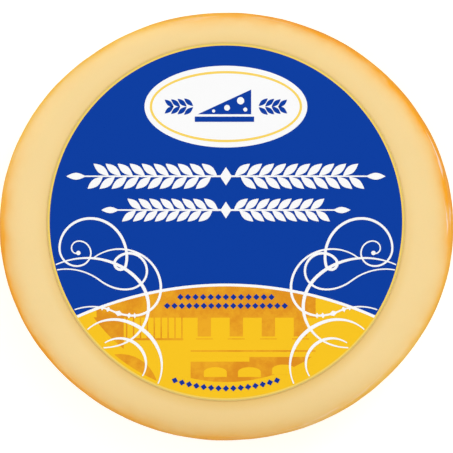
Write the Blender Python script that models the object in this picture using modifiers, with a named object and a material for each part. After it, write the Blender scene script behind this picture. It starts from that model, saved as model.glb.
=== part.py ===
"""A whole smoked provolone: an oval wheel of cheese with soft shoulders, and the round label on its top.

The wheel lies on the XY plane with its middle at the origin and its long side along X.
The foot of the label's print points to -Y. Units are metres.
"""

from math import cos, pi, radians, sin

import bpy

# Driving dimensions of the wheel of cheese.
WHEEL_WIDTH = 0.1568  # along X
WHEEL_DEPTH = 0.1477  # along Y
WHEEL_HEIGHT = 0.0560

# The wheel's section along X. Above and below its widest height, the side is a quarter of a
# superellipse: a power of 2 would make it a plain ellipse, and a higher one squares its corner.
WIDEST_HEIGHT = 0.0255
TOP_FLAT_RADIUS = 0.0660
BASE_FLAT_RADIUS = 0.0675
SHOULDER_POWER = 3.8
FOOT_POWER = 4.4

# The label is a thin disc that lies a little off the middle of the top.
LABEL_DIAMETER = 0.1220
LABEL_THICKNESS = 0.0004
LABEL_CENTRE = (-0.0002, 0.0016)
CLEARANCE = 0.0003  # gap between the label and the cheese

# How finely the round shapes are faceted.
TURN_STEPS = 96
SHOULDER_STEPS = 14
FOOT_STEPS = 10
SHARP_ANGLE = radians(35)
MERGE_DISTANCE = 0.00001

# Colours are sRGB values from 0 to 255.
CHEESE_COLOUR = (244, 212, 150)
CHEESE_ROUGHNESS = 0.38
LABEL_COLOUR = (18, 64, 162)
LABEL_ROUGHNESS = 0.32


def clear_scene():
    """Removes every object that is in the file, such as the startup cube."""
    for obj in list(bpy.data.objects):
        bpy.data.objects.remove(obj, do_unlink=True)


def linear(value):
    """One sRGB channel, from 0 to 255, as the linear value that a shader takes."""
    share = value / 255
    if share <= 0.04045:
        return share / 12.92
    return ((share + 0.055) / 1.055) ** 2.4


def make_material(name, colour, roughness):
    material = bpy.data.materials.new(name)
    material.use_nodes = True
    shader = material.node_tree.nodes["Principled BSDF"]
    shader.inputs["Base Color"].default_value = (*map(linear, colour), 1.0)
    shader.inputs["Roughness"].default_value = roughness
    shader.inputs["Metallic"].default_value = 0.0
    return material


def superellipse(reach, rise, power, angle):
    """How far out and how far up a quarter of a superellipse is, at an angle from 0 to pi / 2."""
    out = max(cos(angle), 0.0) ** (2 / power)
    up = max(sin(angle), 0.0) ** (2 / power)
    return reach * out, rise * up


def wheel_section():
    """The wheel's outline from the middle of the top to the middle of the base, as (radius, z)."""
    points = [(0.0, WHEEL_HEIGHT)]
    shoulder_reach = WHEEL_WIDTH / 2 - TOP_FLAT_RADIUS
    shoulder_rise = WHEEL_HEIGHT - WIDEST_HEIGHT
    for step in range(SHOULDER_STEPS + 1):
        angle = pi / 2 * (1 - step / SHOULDER_STEPS)
        out, up = superellipse(shoulder_reach, shoulder_rise, SHOULDER_POWER, angle)
        points.append((TOP_FLAT_RADIUS + out, WIDEST_HEIGHT + up))
    foot_reach = WHEEL_WIDTH / 2 - BASE_FLAT_RADIUS
    for step in range(1, FOOT_STEPS + 1):
        angle = pi / 2 * step / FOOT_STEPS
        out, down = superellipse(foot_reach, WIDEST_HEIGHT, FOOT_POWER, angle)
        points.append((BASE_FLAT_RADIUS + out, WIDEST_HEIGHT - down))
    points.append((0.0, 0.0))
    return points


def make_wheel(collection, material):
    section = wheel_section()
    mesh = bpy.data.meshes.new("cheese_wheel")
    edges = [(step, step + 1) for step in range(len(section) - 1)]
    mesh.from_pydata([(radius, 0.0, z) for radius, z in section], edges, [])
    wheel = bpy.data.objects.new("cheese_wheel", mesh)
    collection.objects.link(wheel)
    wheel.data.materials.append(material)

    turn = wheel.modifiers.new("turn", "SCREW")
    turn.axis = "Z"
    turn.angle = 2 * pi
    turn.steps = TURN_STEPS
    turn.render_steps = TURN_STEPS
    turn.use_merge_vertices = True
    turn.merge_threshold = MERGE_DISTANCE
    turn.use_smooth_shade = True

    # The wheel is turned round and then drawn in across Y, which makes it oval.
    wheel.scale = (1.0, WHEEL_DEPTH / WHEEL_WIDTH, 1.0)
    return wheel


def make_label(collection, material):
    middle = WHEEL_HEIGHT + CLEARANCE + LABEL_THICKNESS / 2
    bpy.ops.mesh.primitive_cylinder_add(
        vertices=TURN_STEPS,
        radius=LABEL_DIAMETER / 2,
        depth=LABEL_THICKNESS,
        location=(*LABEL_CENTRE, middle),
    )
    label = bpy.context.object
    label.name = "label"
    label.data.name = "label"
    for old in list(label.users_collection):
        old.objects.unlink(label)
    collection.objects.link(label)
    label.data.materials.append(material)
    label.data.shade_smooth()
    label.data.set_sharp_from_angle(angle=SHARP_ANGLE)
    return label


def main():
    clear_scene()
    collection = bpy.data.collections.new("provolone_cheese")
    bpy.context.scene.collection.children.link(collection)
    make_wheel(collection, make_material("smoked_skin", CHEESE_COLOUR, CHEESE_ROUGHNESS))
    make_label(collection, make_material("label_paper", LABEL_COLOUR, LABEL_ROUGHNESS))


main()
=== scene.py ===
import random
from math import atan2, cos, degrees, hypot, pi, radians, sin

import bpy
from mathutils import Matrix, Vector


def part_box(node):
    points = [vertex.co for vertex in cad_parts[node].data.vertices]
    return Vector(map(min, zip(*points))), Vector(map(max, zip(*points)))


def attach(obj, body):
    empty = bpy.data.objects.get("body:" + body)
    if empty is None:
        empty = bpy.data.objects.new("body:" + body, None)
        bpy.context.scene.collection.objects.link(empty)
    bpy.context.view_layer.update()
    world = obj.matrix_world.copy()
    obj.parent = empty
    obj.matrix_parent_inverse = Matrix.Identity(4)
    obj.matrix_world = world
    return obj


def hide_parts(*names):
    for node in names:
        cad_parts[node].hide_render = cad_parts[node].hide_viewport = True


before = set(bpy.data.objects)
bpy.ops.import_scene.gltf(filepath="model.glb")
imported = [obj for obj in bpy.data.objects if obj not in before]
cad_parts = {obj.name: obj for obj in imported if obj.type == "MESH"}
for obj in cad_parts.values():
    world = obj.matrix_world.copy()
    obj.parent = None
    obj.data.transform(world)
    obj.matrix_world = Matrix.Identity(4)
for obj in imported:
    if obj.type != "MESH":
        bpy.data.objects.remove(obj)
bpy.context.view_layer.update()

# A whole smoked provolone, label up. The cheese is turned from its section, then given the soft
# unevenness of a moulded cheese; the label is a thin round of paper with its print laid on as
# fields of ink. Units are metres, and colours are sRGB values from 0 to 255.

MM = 0.001

# The cheese, measured from its CAD solid.
WHEEL_LOW, WHEEL_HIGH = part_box("cheese_wheel")
HALF_WIDTH = (WHEEL_HIGH.x - WHEEL_LOW.x) / 2
HALF_DEPTH = (WHEEL_HIGH.y - WHEEL_LOW.y) / 2
OVAL = HALF_DEPTH / HALF_WIDTH
TOP = WHEEL_HIGH.z

# The cheese's section along X, from the flat top over the shoulder to the flat base.
WIDEST_HEIGHT = 25.5 * MM
TOP_FLAT = 66.0 * MM
BASE_FLAT = 67.5 * MM
SHOULDER_POWER = 3.8
FOOT_POWER = 4.4
SECTION_STEP = 0.65 * MM  # how far apart the points of the section are
TURN_STEPS = 640

# The label, measured from its CAD solid.
LABEL_LOW, LABEL_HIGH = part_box("label")
LABEL_MIDDLE = (LABEL_LOW + LABEL_HIGH) / 2
PAPER_RADIUS = (LABEL_HIGH.x - LABEL_LOW.x) / 2
PRINT_RADIUS = 60.0 * MM
GILT_RADIUS = 60.5 * MM


# ---------------------------------------------------------------- workbench


def deselect_all():
    if bpy.context.object and bpy.context.object.mode != "OBJECT":
        bpy.ops.object.mode_set(mode="OBJECT")
    bpy.ops.object.select_all(action="DESELECT")


def only(piece):
    """Selects one piece and makes it the active one."""
    deselect_all()
    piece.select_set(True)
    bpy.context.view_layer.objects.active = piece


def start_edit(piece, select="SELECT"):
    only(piece)
    bpy.ops.object.mode_set(mode="EDIT")
    bpy.ops.mesh.select_all(action=select)


def end_edit():
    bpy.ops.object.mode_set(mode="OBJECT")


def named(name):
    piece = bpy.context.object
    piece.name = name
    piece.data.name = name
    return piece


def settle(piece):
    """Puts the piece's place, turn and size into its mesh, so that its object sits at the origin."""
    only(piece)
    bpy.ops.object.transform_apply(location=True, rotation=True, scale=True)


def apply_all(piece):
    only(piece)
    for modifier in list(piece.modifiers):
        bpy.ops.object.modifier_apply(modifier=modifier.name)


def finish_piece(piece, material, smooth_angle=35):
    """Smooth shading, outward faces and its material."""
    start_edit(piece)
    bpy.ops.mesh.normals_make_consistent(inside=False)
    end_edit()
    bpy.ops.object.shade_smooth_by_angle(angle=radians(smooth_angle))
    piece.data.materials.clear()
    piece.data.materials.append(material)


# ---------------------------------------------------------------- shader workbench


def linear(value):
    share = value / 255
    return share / 12.92 if share <= 0.04045 else ((share + 0.055) / 1.055) ** 2.4


def paint(colour):
    return (*map(linear, colour), 1.0)


class Bench:
    """A node tree with short ways to place nodes in it."""

    def __init__(self, tree):
        self.tree = tree

    def node(self, kind, **settings):
        made = self.tree.nodes.new(kind)
        for name, value in settings.items():
            setattr(made, name, value)
        return made

    def put(self, source, socket):
        """Links a socket, or sets a plain value."""
        if isinstance(source, bpy.types.NodeSocket):
            self.tree.links.new(source, socket)
        else:
            socket.default_value = source

    def maths(self, operation, *values, clamp=False):
        made = self.node("ShaderNodeMath", operation=operation, use_clamp=clamp)
        for value, socket in zip(values, made.inputs):
            self.put(value, socket)
        return made.outputs[0]

    def band(self, value, low, high, at_low=0.0, at_high=1.0):
        """Smoothly from at_low to at_high as value goes from low to high."""
        made = self.node("ShaderNodeMapRange", interpolation_type="SMOOTHSTEP")
        for name, number in zip(("Value", "From Min", "From Max", "To Min", "To Max"),
                                (value, low, high, at_low, at_high)):
            self.put(number, made.inputs[name])
        return made.outputs["Result"]

    def mix(self, share, first, second, blend="MIX"):
        made = self.node("ShaderNodeMix", data_type="RGBA", blend_type=blend)
        self.put(share, made.inputs[0])
        self.put(first, made.inputs[6])
        self.put(second, made.inputs[7])
        return made.outputs[2]

    def noise(self, vector, scale, detail=2.0, roughness=0.5, distortion=0.0):
        made = self.node("ShaderNodeTexNoise")
        for name, value in (("Vector", vector), ("Scale", scale), ("Detail", detail),
                            ("Roughness", roughness), ("Distortion", distortion)):
            self.put(value, made.inputs[name])
        return made.outputs["Fac"]

    def stretched(self, vector, scale, location=(0.0, 0.0, 0.0)):
        made = self.node("ShaderNodeMapping")
        self.put(vector, made.inputs["Vector"])
        made.inputs["Location"].default_value = location
        made.inputs["Scale"].default_value = scale
        return made.outputs["Vector"]

    def place(self):
        """The point's own coordinates on the piece."""
        return self.node("ShaderNodeTexCoord").outputs["Object"]

    def split(self, vector):
        made = self.node("ShaderNodeSeparateXYZ")
        self.put(vector, made.inputs[0])
        return made.outputs

    def group(self, tree, **values):
        made = self.node("ShaderNodeGroup", node_tree=tree)
        for name, value in values.items():
            self.put(value, made.inputs[name.replace("_", " ")])
        return made.outputs


def new_material(name):
    material = bpy.data.materials.new(name)
    material.use_nodes = True
    shader = material.node_tree.nodes["Principled BSDF"]
    return material, Bench(material.node_tree), shader


def new_group(name, inputs, outputs):
    """A shader group. inputs are (name, kind, value), and outputs are (name, kind)."""
    tree = bpy.data.node_groups.new(name, "ShaderNodeTree")
    for label, kind, value in inputs:
        made = tree.interface.new_socket(label, in_out="INPUT", socket_type=kind)
        if value is not None:
            made.default_value = value
    for label, kind in outputs:
        tree.interface.new_socket(label, in_out="OUTPUT", socket_type=kind)
    bench = Bench(tree)
    return tree, bench, bench.node("NodeGroupInput").outputs, bench.node("NodeGroupOutput").inputs


def make_fine_grain():
    """Cloudy tone and fine tooth, for cheese skin, paper and ink alike. Tone is about 0, Height 0 to 1."""
    tree, bench, given, out = new_group(
        "fine_grain",
        [("Place", "NodeSocketVector", None), ("Cloud size", "NodeSocketFloat", 60.0),
         ("Tooth size", "NodeSocketFloat", 900.0), ("Amount", "NodeSocketFloat", 0.05)],
        [("Tone", "NodeSocketFloat"), ("Height", "NodeSocketFloat")])
    cloud = bench.noise(given["Place"], given["Cloud size"], detail=3.0, roughness=0.55)
    tooth = bench.noise(given["Place"], given["Tooth size"], detail=2.0, roughness=0.6)
    mixed = bench.maths("ADD", bench.maths("MULTIPLY", cloud, 0.7), bench.maths("MULTIPLY", tooth, 0.3))
    centred = bench.maths("SUBTRACT", mixed, 0.5)
    bench.put(bench.maths("MULTIPLY", centred, given["Amount"]), out["Tone"])
    bench.put(tooth, out["Height"])
    return tree


FINE_GRAIN = make_fine_grain()


def toned(bench, colour, tone):
    """A colour made a little lighter or darker by tone."""
    made = bench.node("ShaderNodeHueSaturation")
    bench.put(bench.maths("ADD", tone, 1.0), made.inputs["Value"])
    bench.put(colour, made.inputs["Color"])
    return made.outputs["Color"]


# ---------------------------------------------------------------- finishes


# How the skin's colour runs with the depth below the face, in mm: where the smoke is heavy, and
# where it is light.
CREAM = (244, 214, 152)
HONEY = (242, 192, 112)
ORANGE = (247, 165, 25)
BRONZE = (230, 140, 15)
PALE_STRAW = (246, 210, 142)
STRAW = (250, 195, 75)
TAWNY = (238, 166, 40)
HEAVY_SMOKE = ((0.0, CREAM), (3.0, HONEY), (7.0, ORANGE), (28.0, BRONZE))  # depth below the face, in mm
LIGHT_SMOKE = ((0.0, CREAM), (3.0, PALE_STRAW), (11.0, STRAW), (28.0, TAWNY))
DEEPEST = 28.0
GLINT_SIDE = radians(12.0)  # where round the wheel the painted glints are brightest
TINY = 1e-6  # keeps a division safe on the wheel's own axis


def smoke_ramp(bench, depth, stops):
    """Colours by depth; depth is in metres."""
    ramp = bench.node("ShaderNodeValToRGB")
    bench.put(bench.maths("DIVIDE", depth, DEEPEST * MM), ramp.inputs["Fac"])
    elements = ramp.color_ramp.elements
    while len(elements) < len(stops):
        elements.new(1.0)
    for element, (place, colour) in zip(elements, stops):
        element.position = place / DEEPEST
        element.color = paint(colour)
    return ramp.outputs["Color"]


def smoked_skin():
    """Cream on the faces, deepening over the shoulder to smoked orange at the sides."""
    material, bench, shader = new_material("smoked_skin")
    place = bench.place()
    x, y, z = bench.split(place)
    squares = bench.maths("ADD", bench.maths("MULTIPLY", x, x), bench.maths("MULTIPLY", y, y))
    safe_squares = bench.maths("ADD", squares, TINY)
    from_axis = bench.maths("SQRT", safe_squares)

    # Depth below the nearer face, which wanders a little round the wheel.
    depth = bench.maths("MINIMUM", bench.maths("SUBTRACT", TOP, z), bench.maths("MULTIPLY", z, 1.15))
    drift = bench.maths("SUBTRACT", bench.noise(place, 48.0, detail=3.0, roughness=0.6), 0.5)
    depth = bench.maths("MULTIPLY", depth, bench.maths("MULTIPLY_ADD", drift, 2.6, 1.04))

    # Towards one side the smoke also reaches further in over the shoulder.
    leaning = bench.maths("DIVIDE", bench.maths("ADD", x, y), from_axis)
    depth = bench.maths("MULTIPLY", depth, bench.maths("MULTIPLY_ADD", leaning, 0.12, 1.15))

    # Round the wheel the smoke is heaviest on two opposite sides and lightest between them.
    # Towards the foot of the label it is a little heavier, which is partly more smoke and partly painted shade.
    crossed = bench.maths("DIVIDE", bench.maths("MULTIPLY", x, y), safe_squares)
    smoke_and_shade = bench.maths("MULTIPLY_ADD", crossed, 1.8, 0.78)
    smoke_and_shade = bench.maths("MULTIPLY_ADD", y, -0.18 / HALF_DEPTH, smoke_and_shade)
    smoke_and_shade = bench.maths("ADD", smoke_and_shade, bench.maths("MULTIPLY", drift, 0.6), clamp=True)
    colour = bench.mix(smoke_and_shade, smoke_ramp(bench, depth, LIGHT_SMOKE), smoke_ramp(bench, depth, HEAVY_SMOKE))

    # Streaks of browner smoke run round the sides.
    streaks = bench.noise(bench.stretched(place, (26.0, 26.0, 190.0)), 1.0, detail=4.0, roughness=0.6)
    brown = bench.maths("MULTIPLY", bench.band(depth, 16.0 * MM, 28.0 * MM), bench.band(streaks, 0.42, 0.72))
    colour = bench.mix(bench.maths("MULTIPLY", brown, 0.45), colour, paint((200, 116, 28)))

    # The face is darker towards the foot of the label, partly a smoke tan and partly painted shade; right beside the
    # label's edge it is darker and more orange still, most of all towards its foot.
    foot = bench.band(bench.maths("DIVIDE", y, -HALF_DEPTH), 0.55, 1.05)
    colour = bench.mix(bench.maths("MULTIPLY", foot, 0.36), colour, paint((222, 178, 96)))
    from_label = bench.maths("SUBTRACT", bench.maths("SQRT", bench.maths("ADD",
        bench.maths("POWER", bench.maths("SUBTRACT", x, LABEL_MIDDLE.x), 2.0),
        bench.maths("POWER", bench.maths("SUBTRACT", y, LABEL_MIDDLE.y), 2.0))), PAPER_RADIUS)
    beside = bench.band(from_label, 0.0, 4.5 * MM, at_low=1.0, at_high=0.0)
    lower = bench.band(y, 0.02, -0.06, at_low=0.15, at_high=0.5)
    colour = bench.mix(bench.maths("MULTIPLY", beside, lower), colour, paint((230, 184, 88)))

    # Painted glints: thin pale threads of highlight along the rim, in small patches and most of all on one side,
    # where the skin is also a little glossier.
    glint_threads = bench.noise(bench.stretched(place, (60.0, 60.0, 820.0)), 1.0, detail=2.0, distortion=0.4)
    glint_threads = bench.band(glint_threads, 0.54, 0.62)
    glint_patch = bench.band(bench.noise(place, 17.0, detail=1.0), 0.48, 0.62, at_high=0.3)
    ahead = bench.maths("ADD", bench.maths("MULTIPLY", x, cos(GLINT_SIDE)),
                        bench.maths("MULTIPLY", y, sin(GLINT_SIDE)))
    facing = bench.maths("DIVIDE", ahead, from_axis)
    glint_patch = bench.maths("MAXIMUM", glint_patch, bench.band(facing, 0.965, 0.985))
    on_rim = bench.maths("MULTIPLY", bench.band(depth, 3.8 * MM, 5.0 * MM),
                         bench.band(depth, 7.5 * MM, 10.0 * MM, at_low=1.0, at_high=0.12))
    painted_glint = bench.maths("MULTIPLY", glint_threads, bench.maths("MULTIPLY", glint_patch, on_rim))
    colour = bench.mix(bench.maths("MULTIPLY", painted_glint, 0.8), colour, paint((250, 222, 200)))

    # Small brown specks of smoke on the side.
    specks = bench.band(bench.noise(place, 520.0, detail=1.0), 0.70, 0.78)
    specks = bench.maths("MULTIPLY", specks, bench.band(depth, 6.0 * MM, 14.0 * MM))
    colour = bench.mix(bench.maths("MULTIPLY", specks, 0.45), colour, paint((150, 82, 24)))

    grain = bench.group(FINE_GRAIN, Place=place, Cloud_size=55.0, Tooth_size=1400.0, Amount=0.08)
    colour = toned(bench, colour, grain["Tone"])
    bench.put(colour, shader.inputs["Base Color"])

    rough = bench.maths("MULTIPLY_ADD", streaks, 0.2, 0.40)
    bench.put(bench.maths("MULTIPLY_ADD", painted_glint, -0.12, rough), shader.inputs["Roughness"])
    shader.inputs["Specular IOR Level"].default_value = 0.10
    shader.inputs["Specular Tint"].default_value = (1.0, 0.8, 0.5, 1.0)
    shader.inputs["Subsurface Weight"].default_value = 0.08
    shader.inputs["Subsurface Radius"].default_value = (1.0, 0.55, 0.25)
    shader.inputs["Subsurface Scale"].default_value = 2.0 * MM
    bump = bench.node("ShaderNodeBump")
    bump.inputs["Strength"].default_value = 0.25
    bump.inputs["Distance"].default_value = 0.08 * MM
    bench.put(grain["Height"], bump.inputs["Height"])
    bench.put(bump.outputs["Normal"], shader.inputs["Normal"])
    return material


def ink(name, colour, second=None, mottle=0.0, roughness=0.3):
    """Printed ink under a satin varnish. second is another tone that it is mottled with."""
    material, bench, shader = new_material(name)
    place = bench.place()
    grain = bench.group(FINE_GRAIN, Place=place, Cloud_size=35.0, Tooth_size=2200.0, Amount=0.05)
    base = paint(colour)
    if second:
        spots = bench.noise(place, 420.0, detail=3.0, roughness=0.7)
        fields = bench.noise(place, 70.0, detail=2.0)
        share = bench.maths("MULTIPLY_ADD", fields, 0.6, bench.maths("MULTIPLY", spots, 0.4))
        base = bench.mix(bench.band(share, 0.5 - mottle, 0.5 + mottle), paint(colour), paint(second))
    bench.put(toned(bench, base, grain["Tone"]), shader.inputs["Base Color"])
    rough = bench.maths("MULTIPLY_ADD", grain["Height"], 0.12, roughness - 0.06)
    bench.put(rough, shader.inputs["Roughness"])
    shader.inputs["Specular IOR Level"].default_value = 0.25
    bump = bench.node("ShaderNodeBump")
    bump.inputs["Strength"].default_value = 0.12
    bump.inputs["Distance"].default_value = 0.03 * MM
    bench.put(grain["Height"], bump.inputs["Height"])
    bench.put(bump.outputs["Normal"], shader.inputs["Normal"])
    return material


# ---------------------------------------------------------------- the cheese


def superellipse(reach, rise, power, angle):
    """How far out and how far up a quarter of a superellipse is, at an angle from 0 to pi / 2."""
    out = max(cos(angle), 0.0) ** (2 / power)
    up = max(sin(angle), 0.0) ** (2 / power)
    return reach * out, rise * up


def evenly(points, step):
    """Points about a step apart along a line that is given by many points."""
    spaced = [points[0]]
    travelled = 0.0
    for before, after in zip(points, points[1:]):
        travelled += hypot(after[0] - before[0], after[1] - before[1])
        if travelled >= step:
            spaced.append(after)
            travelled = 0.0
    if travelled > step / 3:
        spaced.append(points[-1])
    else:
        spaced[-1] = points[-1]
    return spaced


def wheel_section():
    """The cheese's outline from the middle of its top to the middle of its base, as (radius, z)."""
    fine = 3000
    shoulder, foot = [], []
    for step in range(fine + 1):
        angle = pi / 2 * (step / fine) ** 2  # closer together where the side is steepest
        out, up = superellipse(HALF_WIDTH - TOP_FLAT, TOP - WIDEST_HEIGHT, SHOULDER_POWER, angle)
        shoulder.append((TOP_FLAT + out, WIDEST_HEIGHT + up))
        out, down = superellipse(HALF_WIDTH - BASE_FLAT, WIDEST_HEIGHT, FOOT_POWER, angle)
        foot.append((BASE_FLAT + out, WIDEST_HEIGHT - down))
    across = [(radius * MM, TOP) for radius in (0, 20, 40, 50, 56, 60, 62, 63, 64, 65)]
    shoulder.reverse()
    under = [(radius * MM, 0.0) for radius in (66, 62, 50, 30, 0)]
    return across + evenly(shoulder, SECTION_STEP) + evenly(foot, SECTION_STEP)[1:] + under


def turn_cheese():
    """The section is drawn point by point, spun round, and drawn in across Y."""
    deselect_all()
    section = wheel_section()
    bpy.ops.mesh.primitive_plane_add(size=MM, location=(0.0, 0.0, TOP))
    cheese = named("cheese")
    settle(cheese)
    start_edit(cheese)
    bpy.ops.mesh.merge(type="CENTER")
    for (r0, z0), (r1, z1) in zip(section, section[1:]):
        bpy.ops.mesh.extrude_vertices_move(TRANSFORM_OT_translate={"value": (r1 - r0, 0.0, z1 - z0)})
    bpy.ops.mesh.select_all(action="SELECT")
    bpy.ops.mesh.spin(steps=TURN_STEPS, angle=2 * pi, center=(0.0, 0.0, 0.0), axis=(0.0, 0.0, 1.0))
    bpy.ops.mesh.select_all(action="SELECT")
    bpy.ops.mesh.remove_doubles(threshold=0.001 * MM)
    bpy.ops.transform.resize(value=(1.0, OVAL, 1.0), center_override=(0.0, 0.0, 0.0))
    end_edit()
    return cheese


FACE_FADE = 3.0 * MM  # the skin's relief grows from nothing over this depth
PITS = 46
PITTED_HEIGHT = (4.0, 50.0)  # low and high of the pits, in mm
PIT_WIDTH = (0.9, 2.4)  # in mm
PIT_DEPTH = (0.12, 0.34)  # in mm
PIT_FREE = 2.0 * MM  # no pit reaches nearer than this to either face


def weigh_skin(cheese):
    """A vertex group that is full on the shoulder and the side, and nothing on the two flat faces."""
    skin = cheese.vertex_groups.new(name="skin")
    for vertex in cheese.data.vertices:
        depth = min(TOP - vertex.co.z, vertex.co.z)
        share = min(max(depth / FACE_FADE, 0.0), 1.0)
        skin.add([vertex.index], share, "REPLACE")


def swell(cheese, name, feature, height, flatten=1.0, depth=2):
    """Lifts and sinks the skin by a cloudy pattern. A flatten below 1 draws it out round the wheel."""
    pattern = bpy.data.textures.new(name, "CLOUDS")
    pattern.noise_scale = feature
    pattern.noise_depth = depth
    deselect_all()
    bpy.ops.object.empty_add(location=(0.0, 0.0, 0.0))
    guide = bpy.context.object
    guide.scale = (1.0, 1.0, flatten)
    bpy.context.view_layer.update()
    modifier = cheese.modifiers.new(name, "DISPLACE")
    modifier.texture = pattern
    modifier.texture_coords = "OBJECT"
    modifier.texture_coords_object = guide
    modifier.vertex_group = "skin"
    modifier.mid_level = 0.5
    modifier.strength = height
    apply_all(cheese)
    bpy.data.objects.remove(guide, do_unlink=True)


def press_pits(cheese):
    """Small shallow dents in the side and the shoulder, as curd leaves in a moulded cheese."""
    rng = random.Random(7)
    pits = []
    while len(pits) < PITS:
        angle, height = rng.uniform(0.0, 2 * pi), rng.uniform(*PITTED_HEIGHT) * MM
        pits.append((angle, height, rng.uniform(*PIT_WIDTH) * MM, rng.uniform(*PIT_DEPTH) * MM))
    for vertex in cheese.data.vertices:
        if vertex.co.z > TOP - PIT_FREE or vertex.co.z < PIT_FREE:
            continue
        around = atan2(vertex.co.y / OVAL, vertex.co.x)
        for angle, height, width, dent in pits:
            if abs(vertex.co.z - height) > width:
                continue
            turn = (around - angle + pi) % (2 * pi) - pi
            away = hypot(turn * HALF_WIDTH, vertex.co.z - height) / width
            if away < 1.0:
                inward = Vector((-vertex.co.x, -vertex.co.y, 0.0)).normalized()
                vertex.co += inward * dent * (1.0 - away ** 2) ** 2


def make_cheese(material):
    cheese = turn_cheese()
    weigh_skin(cheese)
    swell(cheese, "soft_swell", 40.0 * MM, 0.45 * MM, depth=1)
    swell(cheese, "dimples", 8.0 * MM, 0.20 * MM)
    swell(cheese, "creases", 16.0 * MM, 0.16 * MM, flatten=0.16, depth=3)
    press_pits(cheese)
    finish_piece(cheese, material, smooth_angle=60)
    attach(cheese, "root")
    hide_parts("cheese_wheel")
    return cheese


# ---------------------------------------------------------------- the label

# Heights of the layers of the label above the cheese: low and high of each.
PAPER_LAYER = (TOP + 0.04 * MM, TOP + 0.36 * MM)
GILT_LAYER = (TOP + 0.34 * MM, TOP + 0.39 * MM)
FIELD_LAYER = (TOP + 0.37 * MM, TOP + 0.42 * MM)
SECOND_LAYER = (TOP + 0.40 * MM, TOP + 0.45 * MM)
PICTURE_LAYER = (TOP + 0.43 * MM, TOP + 0.47 * MM)
LIGHT_LAYER = (TOP + 0.46 * MM, TOP + 0.49 * MM)
LINE_LAYER = (TOP + 0.44 * MM, TOP + 0.52 * MM)
LAYER_STEP = 0.03 * MM
HAIR = 0.004 * MM

# The line between the blue field and the yellow one is an arc, high in the middle.
ARCH_TOP = -21.5 * MM
ARCH_RADIUS = 124.2 * MM
ARCH_LINE = 0.95 * MM
ARCH_CENTRE = (0.0, ARCH_TOP - ARCH_RADIUS)

BADGE_CENTRE = (0.0, 39.2 * MM)
BADGE_RINGS = (  # half width, half height, ink
    (27.7, 13.9, "white"), (25.9, 12.1, "gilt"), (25.1, 11.3, "white"))
CURVE_SIDES = 2  # bevel resolution of a printed line


def raised(layer, steps):
    """The same layer a few hairs higher, so that inks that cross are never level with each other."""
    low, high = layer
    return low + steps * HAIR, high + steps * HAIR


def on_label(x, y):
    """A place on the label, counted from its middle, in the frame that the cheese is in."""
    return LABEL_MIDDLE.x + x, LABEL_MIDDLE.y + y


def disc(name, radius, layer, centre=(0.0, 0.0), stretch=1.0, vertices=256):
    """A thin round or oval of paper or ink, with its middle at a place on the label."""
    deselect_all()
    low, high = layer
    bpy.ops.mesh.primitive_cylinder_add(
        vertices=vertices, radius=radius, depth=high - low,
        location=(*on_label(*centre), (low + high) / 2), scale=(1.0, stretch, 1.0))
    made = named(name)
    settle(made)
    return made


def block(name, left, right, bottom, top, layer):
    """A thin rectangle of ink, between places on the label."""
    deselect_all()
    low, high = layer
    middle = on_label((left + right) / 2, (bottom + top) / 2)
    bpy.ops.mesh.primitive_cube_add(
        size=1.0, location=(*middle, (low + high) / 2),
        scale=(right - left, top - bottom, high - low))
    made = named(name)
    settle(made)
    return made


def join(name, pieces):
    deselect_all()
    for piece in pieces:
        piece.select_set(True)
    bpy.context.view_layer.objects.active = pieces[0]
    if len(pieces) > 1:
        bpy.ops.object.join()
    return named(name)


def cut(piece, cutter, operation):
    """Trims a piece with another, which is then thrown away."""
    modifier = piece.modifiers.new("cut", "BOOLEAN")
    modifier.operation = operation
    modifier.object = cutter
    modifier.solver = "EXACT"
    apply_all(piece)
    bpy.data.objects.remove(cutter, do_unlink=True)
    return piece


def add_label_piece(piece, material):
    finish_piece(piece, material)
    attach(piece, "root")
    return piece


def print_stock(radius=PRINT_RADIUS):
    """What trims ink to the printed round."""
    return disc("trim", radius, (TOP, TOP + 2.0 * MM))


def under_arch(gap=0.0):
    """What trims ink to the field under the arch."""
    return disc("trim", ARCH_RADIUS - gap, (TOP, TOP + 2.0 * MM), ARCH_CENTRE, vertices=720)


def make_fields(inks):
    paper = disc("label_paper", PAPER_RADIUS, PAPER_LAYER)
    start_edit(paper, "DESELECT")
    bpy.ops.mesh.select_mode(type="EDGE")
    bpy.ops.mesh.select_all(action="SELECT")
    bpy.ops.mesh.bevel(offset=0.10 * MM, segments=3, affect="EDGES")
    end_edit()
    add_label_piece(paper, inks["edge"])
    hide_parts("label")
    add_label_piece(disc("label_gilt_edge", GILT_RADIUS, GILT_LAYER), inks["gilt"])
    add_label_piece(disc("label_blue_field", PRINT_RADIUS, FIELD_LAYER), inks["blue"])

    yellow = disc("label_yellow_field", PRINT_RADIUS, SECOND_LAYER)
    add_label_piece(cut(yellow, under_arch(), "INTERSECT"), inks["yellow"])

    line = disc("label_arch_line", ARCH_RADIUS + ARCH_LINE / 2, LINE_LAYER, ARCH_CENTRE, vertices=720)
    cut(line, under_arch(ARCH_LINE / 2), "DIFFERENCE")
    add_label_piece(cut(line, print_stock(), "INTERSECT"), inks["white"])


# ---- lines of the print


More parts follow.
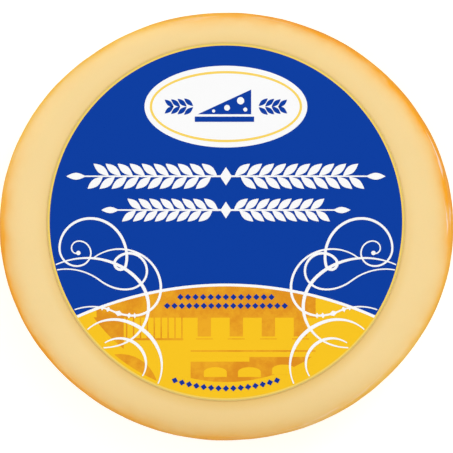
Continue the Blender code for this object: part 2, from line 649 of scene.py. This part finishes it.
def stroke(points, widths, layer=LINE_LAYER):
    """A drawn line through places on the label, as wide as widths says at each, and thin as ink."""
    deselect_all()
    bpy.ops.curve.primitive_nurbs_path_add(location=(0.0, 0.0, 0.0))
    curve = bpy.context.object
    shape = curve.data
    shape.splines.clear()
    spline = shape.splines.new("POLY")
    spline.points.add(len(points) - 1)
    for point, place, width in zip(spline.points, points, widths):
        point.co = (*on_label(*place), 0.0, 1.0)
        point.radius = width / 2 / MM
    shape.bevel_depth = MM
    shape.bevel_resolution = CURVE_SIDES
    shape.use_fill_caps = True
    bpy.ops.object.convert(target="MESH")
    drawn = bpy.context.object
    start_edit(drawn)
    bpy.ops.mesh.remove_doubles(threshold=0.001 * MM)
    low, high = layer
    thickest = max(widths)
    bpy.ops.transform.resize(value=(1.0, 1.0, (high - low) / thickest), center_override=(0.0, 0.0, 0.0))
    bpy.ops.transform.translate(value=(0.0, 0.0, (low + high) / 2))
    end_edit()
    return drawn


def pen_line(start, heading, bends, pace=0.5 * MM):
    """Places along a pen line. Each bend is a turn in degrees, left if above 0, and two radii in mm."""
    (x, y), heading = start, radians(heading)
    places = [(x, y)]
    for turn, first, last in bends:
        turn, first, last = radians(turn), first * MM, last * MM
        count = max(int(abs(turn) * (first + last) / 2 / pace), 4)
        for step in range(count):
            radius = first + (last - first) * (step + 0.5) / count
            heading += turn / count / 2
            x += radius * abs(turn / count) * cos(heading)
            y += radius * abs(turn / count) * sin(heading)
            heading += turn / count / 2
            places.append((x, y))
    return places


def inside(places, radius=PRINT_RADIUS - 0.2 * MM):
    """The places that are on the printed round."""
    return [place for place in places if hypot(*place) < radius]


def swelling(count, thin, thick):
    """Widths of a pen line: thin at its ends, and thick in its middle."""
    return [thin + (thick - thin) * max(sin(pi * step / (count - 1)), 0.0) ** 1.5 for step in range(count)]


# Where the pen starts and its thickest width are in mm, and which way it heads is in degrees.
SCROLLS = (  # start, heading, thickest width, and the bends that pen_line takes
    ((-50.2, -10.6), 210.0, 0.95, (
        (-210, 1.2, 2.8), (-160, 3.9, 4.5), (-110, 5.4, 6.4), (-90, 9.6, 11.0), (-72, 11.4, 13.5),
        (-34, 16.0, 9.0), (-205, 1.7, 2.3), (-145, 5.8, 6.2), (-75, 5.0, 8.0), (-46, 10.0, 17.0), (60, 20.0, 17.0))),
    ((-57.9, -14.6), 24.0, 1.15, (
        (-68, 27.0, 22.0), (-50, 16.0, 12.0), (-70, 13.0, 15.0), (-32, 18.0, 26.0))),
    ((-45.4, -12.6), 40.0, 0.85, ((-62, 14.0, 15.0), (-78, 14.5, 11.5), (-80, 8.5, 10.0), (-24, 15.0, 20.0),
                                  (46, 17.0, 17.0))),
    ((-48.3, -38.0), 52.0, 1.25, ((-70, 11.5, 15.0), (-68, 19.0, 14.0), (-34, 13.5, 16.0))),
    ((-41.2, -41.2), 34.0, 1.05, ((-62, 9.0, 9.0), (-118, 9.5, 6.5), (-16, 9.0, 9.0))),
)
THIN_PEN = 0.42 * MM
CURL_DOT = 0.75 * MM
BEADED_LINE = 2  # which of the scrolls carries the beads
BEADS = ((0.685, 1.3), (0.715, 1.7), (0.765, 3.4), (0.815, 1.7), (0.845, 1.3))  # share of its length; mm


def make_scrolls(material):
    """The same pen flourishes on the left and on the right."""
    for side, name in ((1, "left"), (-1, "right")):
        lines = []
        for number, ((x, y), heading, width, bends) in enumerate(SCROLLS):
            places = inside(pen_line((x * MM, y * MM), heading, bends))
            places = [(side * px, py) for px, py in places]
            layer = raised(LINE_LAYER, number + 1)
            lines.append(stroke(places, swelling(len(places), THIN_PEN, width * MM), layer))
            if number == BEADED_LINE:
                beaded = places
        x, y = SCROLLS[0][0]
        layer = raised(LINE_LAYER, len(SCROLLS) + 1)
        lines.append(disc("dot", CURL_DOT, layer, (side * x * MM, y * MM), vertices=24))
        for number, (share, length) in enumerate(BEADS):
            step = round(share * len(beaded))
            (x, y), (next_x, next_y) = beaded[step], beaded[step + 1]
            bead = lozenge("bead", length * MM, 1.9 * MM, layer)
            lines += copies(bead, [(x, y, degrees(atan2(next_y - y, next_x - x)))])
        add_label_piece(join("label_scrolls_" + name, lines), material)


# ---- leaves, lozenges and the badge


def leaf(name, length, width, layer):
    """A leaf with two points, lying along X with its middle at the origin."""
    deselect_all()
    low, high = layer
    bpy.ops.mesh.primitive_circle_add(vertices=24, radius=0.5, fill_type="NGON", location=(0.0, 0.0, low))
    made = named(name)
    settle(made)
    for vertex in made.data.vertices:
        along = 2 * vertex.co.x
        vertex.co.y = (0.5 if vertex.co.y > 0 else -0.5) * (1 - abs(along) ** 1.7) * width
        vertex.co.x = along / 2 * length
    start_edit(made)
    bpy.ops.mesh.extrude_region_move(TRANSFORM_OT_translate={"value": (0.0, 0.0, high - low)})
    end_edit()
    return made


def lozenge(name, length, width, layer):
    """A four-cornered diamond, lying along X with its middle at the origin."""
    deselect_all()
    low, high = layer
    bpy.ops.mesh.primitive_cylinder_add(
        vertices=4, radius=0.5, depth=high - low, location=(0.0, 0.0, (low + high) / 2),
        scale=(length, width, 1.0))
    made = named(name)
    settle(made)
    return made


def copies(pattern, places):
    """Copies of a small flat piece, each at a place on the label and turned by an angle in degrees."""
    made = []
    for x, y, turn in places:
        only(pattern)
        bpy.ops.object.duplicate(linked=False)
        copy = bpy.context.object
        copy.rotation_euler.z = radians(turn)
        copy.location.x, copy.location.y = on_label(x, y)
        settle(copy)
        made.append(copy)
    bpy.data.objects.remove(pattern, do_unlink=True)
    return made


def garland(name, middle, half_length, leaf_length, material):
    """A sprig to the left and one to the right of a small diamond, with leaves in pairs."""
    gap = leaf_length * 0.62
    places = []
    reach = leaf_length * 0.85
    while reach + gap * 0.5 < half_length - leaf_length * 0.95:
        for side in (-1, 1):
            for up in (-1, 1):
                x = side * (reach + (0.0 if up > 0 else gap * 0.5))
                places.append((x, middle + up * leaf_length * 0.34, side * up * 38.0))
        reach += gap
    leaves = copies(leaf("leaf", leaf_length, leaf_length * 0.40, LINE_LAYER), places)
    ends = [(half_length * share, middle) for share in (-1.0, -0.5, -0.03)]
    stems = [stroke([(side * x, y) for x, y in ends], [0.45 * MM, 0.6 * MM, 0.6 * MM]) for side in (-1, 1)]
    heart = copies(lozenge("heart", leaf_length * 0.62, leaf_length * 0.95, LINE_LAYER), [(0.0, middle, 0.0)])
    tips = copies(leaf("tip", leaf_length, leaf_length * 0.36, LINE_LAYER),
                  [(side * half_length, middle, 0.0) for side in (-1, 1)])
    add_label_piece(join(name, leaves + stems + heart + tips), material)


def row_of_lozenges(name, places, material):
    small = lozenge("small", 2.2 * MM, 2.1 * MM, LINE_LAYER)
    add_label_piece(join(name, copies(small, places)), material)


def make_small_rows(material):
    """Small plain rows: two under the arch, and one that follows the foot of the label."""
    rows = []
    for y, half_length in ((-25.6 * MM, 15.5 * MM), (-28.6 * MM, 20.0 * MM)):
        count = round(2 * half_length / (2.5 * MM))
        rows += [(-half_length + 2 * half_length * n / count, y, 0.0) for n in range(count + 1)]
    row_of_lozenges("label_small_rows", rows, material)
    foot = []
    for n in range(-7, 8):
        angle = n * 2.55
        foot.append((56.7 * MM * sin(radians(angle)), -56.7 * MM * cos(radians(angle)), angle))
    row_of_lozenges("label_foot_row", foot, material)


def make_badge(inks):
    """An oval with rings, and a wedge of cheese between two sprigs."""
    low, high = SECOND_LAYER
    for number, (half_width, half_height, ink_name) in enumerate(BADGE_RINGS):
        layer = (low + number * LAYER_STEP, high + number * LAYER_STEP)
        oval = disc("label_badge_oval_%d" % (number + 1), half_width * MM, layer, BADGE_CENTRE,
                    stretch=half_height / half_width, vertices=192)
        add_label_piece(oval, inks[ink_name])
    top = high + (len(BADGE_RINGS) - 1) * LAYER_STEP
    layer = (top - LAYER_STEP, top + LAYER_STEP)
    middle = BADGE_CENTRE[1]

    # The wedge is a triangle with round holes through it, over a bar for the board it lies on.
    deselect_all()
    bpy.ops.mesh.primitive_cylinder_add(
        vertices=3, radius=1.0, depth=layer[1] - layer[0], location=(0.0, 0.0, sum(layer) / 2))
    wedge = named("wedge")
    settle(wedge)
    corners = ((-9.6, -2.6), (8.6, -2.6), (8.6, 5.8))
    for vertex in wedge.data.vertices:
        corner = 0 if vertex.co.y > 0.5 else (1 if vertex.co.x > 0 else 2)
        x, y = corners[corner]
        vertex.co.x, vertex.co.y = on_label(x * MM, middle + y * MM)
    for x, y, radius in ((5.0, 2.0, 1.25), (0.4, -0.4, 1.0), (6.6, -1.0, 0.7), (-4.2, -1.5, 0.55)):
        hole = disc("hole", radius * MM, (TOP, TOP + 2 * MM), (x * MM, middle + y * MM), vertices=32)
        cut(wedge, hole, "DIFFERENCE")
    board = block("board", -10.6 * MM, 9.6 * MM, middle - 5.2 * MM, middle - 3.4 * MM, layer)
    sprigs = []
    for side in (-1, 1):
        for step in range(4):
            spread = 1.5 - 0.14 * step
            for up in (-1, 1):
                x = side * (12.7 + 2.2 * step) * MM
                sprigs.append((x, middle + up * spread * MM, side * up * 40.0))
    leaves = copies(leaf("leaf", 4.0 * MM, 1.6 * MM, layer), sprigs)
    add_label_piece(join("label_badge_wedge", [wedge, board] + leaves), inks["blue"])


# ---- the picture in the yellow field: a plain farm dairy


ROOF_FOOT = -32.6 * MM
FENCE_FOOT = -39.6 * MM
DOOR_FOOT = -52.8 * MM


def make_dairy(inks):
    """A long roof over windows with sills, a fence, a row of arched doors, and a hill to the left."""
    over = raised(PICTURE_LAYER, 1)
    roof = block("roof", -44.0 * MM, 30.5 * MM, ROOF_FOOT, -20.0 * MM, PICTURE_LAYER)
    cut(roof, under_arch(ARCH_LINE / 2), "INTERSECT")
    shapes = [cut(roof, print_stock(PRINT_RADIUS - 4.5 * MM), "INTERSECT")]
    for number in range(4):
        left = (-9.6 + 10.9 * number) * MM
        shapes.append(block("window", left, left + 4.5 * MM, -39.0 * MM, ROOF_FOOT + 0.1 * MM, over))
        shapes.append(block("sill", left - 0.6 * MM, left + 5.1 * MM, -40.0 * MM, -39.7 * MM, over))
    shapes.append(block("eave", -12.0 * MM, 30.5 * MM, -44.2 * MM, -43.7 * MM, PICTURE_LAYER))

    for number in range(9):
        left = (-34.0 + 2.35 * number) * MM
        stake_foot, stake_top = FENCE_FOOT - 0.1 * MM, ROOF_FOOT + 0.1 * MM
        shapes.append(block("stake", left, left + 0.45 * MM, stake_foot, stake_top, over))
    shapes.append(block("rail", -34.5 * MM, -14.5 * MM, FENCE_FOOT - 0.7 * MM, FENCE_FOOT, PICTURE_LAYER))

    ground = block("ground", -12.0 * MM, 30.5 * MM, -60.0 * MM, -46.0 * MM, PICTURE_LAYER)
    shapes.append(cut(ground, print_stock(PRINT_RADIUS - 5.5 * MM), "INTERSECT"))
    wing = block("wing", -46.0 * MM, -34.8 * MM, -43.4 * MM, ROOF_FOOT + 0.1 * MM, over)
    shapes.append(cut(wing, print_stock(PRINT_RADIUS - 4.5 * MM), "INTERSECT"))
    hill = disc("hill", 13.0 * MM, PICTURE_LAYER, (-36.0 * MM, -58.0 * MM), vertices=96)
    shapes.append(cut(hill, print_stock(PRINT_RADIUS - 1.0 * MM), "INTERSECT"))
    add_label_piece(join("label_dairy_tones", shapes), inks["amber"])

    # Round-topped doors and a low wall, in the light of the yard.
    lights = []
    for number in range(3):
        middle = (-3.6 + 11.6 * number) * MM
        foot = DOOR_FOOT + 0.9 * MM * (number == 2)
        door = block("door", middle - 3.9 * MM, middle + 3.9 * MM, foot, foot + 1.7 * MM, LIGHT_LAYER)
        top = disc("door_top", 3.9 * MM, LIGHT_LAYER, (middle, foot + 1.7 * MM), stretch=0.42, vertices=48)
        lights.append(cut(door, top, "UNION"))
    lights.append(block("low_wall", -12.4 * MM, 8.0 * MM, -47.6 * MM, -46.0 * MM, LIGHT_LAYER))
    add_label_piece(join("label_dairy_lights", lights), inks["yellow"])


def make_label(inks):
    make_fields(inks)
    make_dairy(inks)
    make_scrolls(inks["white"])
    garland("label_garland_long", 15.5 * MM, 51.0 * MM, 6.6 * MM, inks["white"])
    garland("label_garland_short", 4.0 * MM, 39.4 * MM, 6.0 * MM, inks["white"])
    make_small_rows(inks["navy"])
    make_badge(inks)


# ---------------------------------------------------------------- studio


FLOOR_DROP = -0.05 * MM  # the floor lies a hair under the base, so that the two are never level


def make_floor():
    deselect_all()
    bpy.ops.mesh.primitive_plane_add(size=6.0, location=(0.0, 0.0, FLOOR_DROP))
    floor = named("studio_floor")
    material, bench, shader = new_material("studio_floor")
    place = bench.place()
    clouds = bench.noise(place, 3.0)
    ray = bench.node("ShaderNodeLightPath").outputs
    pale = bench.mix(clouds, paint((238, 238, 238)), paint((242, 242, 242)))
    mirrored = bench.maths("MULTIPLY", ray["Is Glossy Ray"], 0.75)
    bench.put(bench.mix(mirrored, pale, paint((60, 60, 60))), shader.inputs["Base Color"])
    shader.inputs["Roughness"].default_value = 0.9
    shader.inputs["Specular IOR Level"].default_value = 0.0
    shader.inputs["Emission Color"].default_value = (1.0, 1.0, 1.0, 1.0)
    bench.put(bench.maths("MULTIPLY", ray["Is Camera Ray"], 0.42), shader.inputs["Emission Strength"])
    floor.data.materials.append(material)


def make_light():
    """A white studio all round, dark straight overhead where the camera stands."""
    world = bpy.data.worlds.new("studio")
    bpy.context.scene.world = world
    world.use_nodes = True
    bench = Bench(world.node_tree)
    sky = world.node_tree.nodes["Background"]
    up = bench.split(bench.node("ShaderNodeTexCoord").outputs["Generated"])["Z"]
    x, y, _ = bench.split(bench.node("ShaderNodeTexCoord").outputs["Generated"])
    glow = bench.band(up, 0.80, 0.93, at_low=1.155, at_high=0.05)
    key = bench.maths("MULTIPLY_ADD", y, 0.02, 1.0)
    glow = bench.maths("MULTIPLY", glow, key)
    # Seen in a gloss, the studio is dimmer, so that the colours stay deep.
    mirrored = bench.node("ShaderNodeLightPath").outputs["Is Glossy Ray"]
    dimming = bench.maths("MULTIPLY_ADD", mirrored, -0.6, 1.0)
    bench.put(bench.maths("MULTIPLY", glow, dimming), sky.inputs["Strength"])
    sky.inputs["Color"].default_value = (1.0, 1.0, 1.0, 1.0)


def softbox(name, place, size, watts):
    """A square lamp that faces the cheese."""
    data = bpy.data.lights.new(name, "AREA")
    data.shape, data.size, data.energy = "SQUARE", size, watts
    lamp = bpy.data.objects.new(name, data)
    bpy.context.scene.collection.objects.link(lamp)
    lamp.location = place
    lamp.rotation_euler = (Vector((0.0, 0.0, TOP)) - Vector(place)).to_track_quat("-Z", "Y").to_euler()


def make_camera():
    """Straight above, so far away that the wheel is seen almost without perspective."""
    lens, sensor = 300.0, 36.0
    frame_width = 154.2 * MM  # at the height of the label
    height = TOP + frame_width * lens / sensor
    data = bpy.data.cameras.new("camera")
    data.lens, data.sensor_width = lens, sensor
    data.clip_start, data.clip_end = 0.05, 20.0
    camera = bpy.data.objects.new("camera", data)
    bpy.context.scene.collection.objects.link(camera)
    camera.location = (0.0, 0.0, height)
    bpy.context.scene.camera = camera
    bpy.context.scene.view_settings.view_transform = "Standard"


def main():
    make_camera()
    make_light()
    softbox("key_softbox", (0.75, 0.85, 1.10), 0.55, 3.6)
    softbox("fill_softbox", (-1.0, 0.15, 0.75), 0.45, 1.2)
    make_floor()
    make_cheese(smoked_skin())
    inks = {
        "edge": ink("label_edge", (222, 193, 112), roughness=0.4),
        "gilt": ink("gilt_ink", (250, 214, 96)),
        "blue": ink("blue_ink", (6, 61, 161)),
        "navy": ink("navy_ink", (16, 52, 150)),
        "white": ink("white_ink", (250, 250, 250)),
        "yellow": ink("yellow_ink", (249, 197, 32)),
        "amber": ink("amber_ink", (224, 143, 30), second=(238, 170, 36), mottle=0.12),
    }
    make_label(inks)


main()
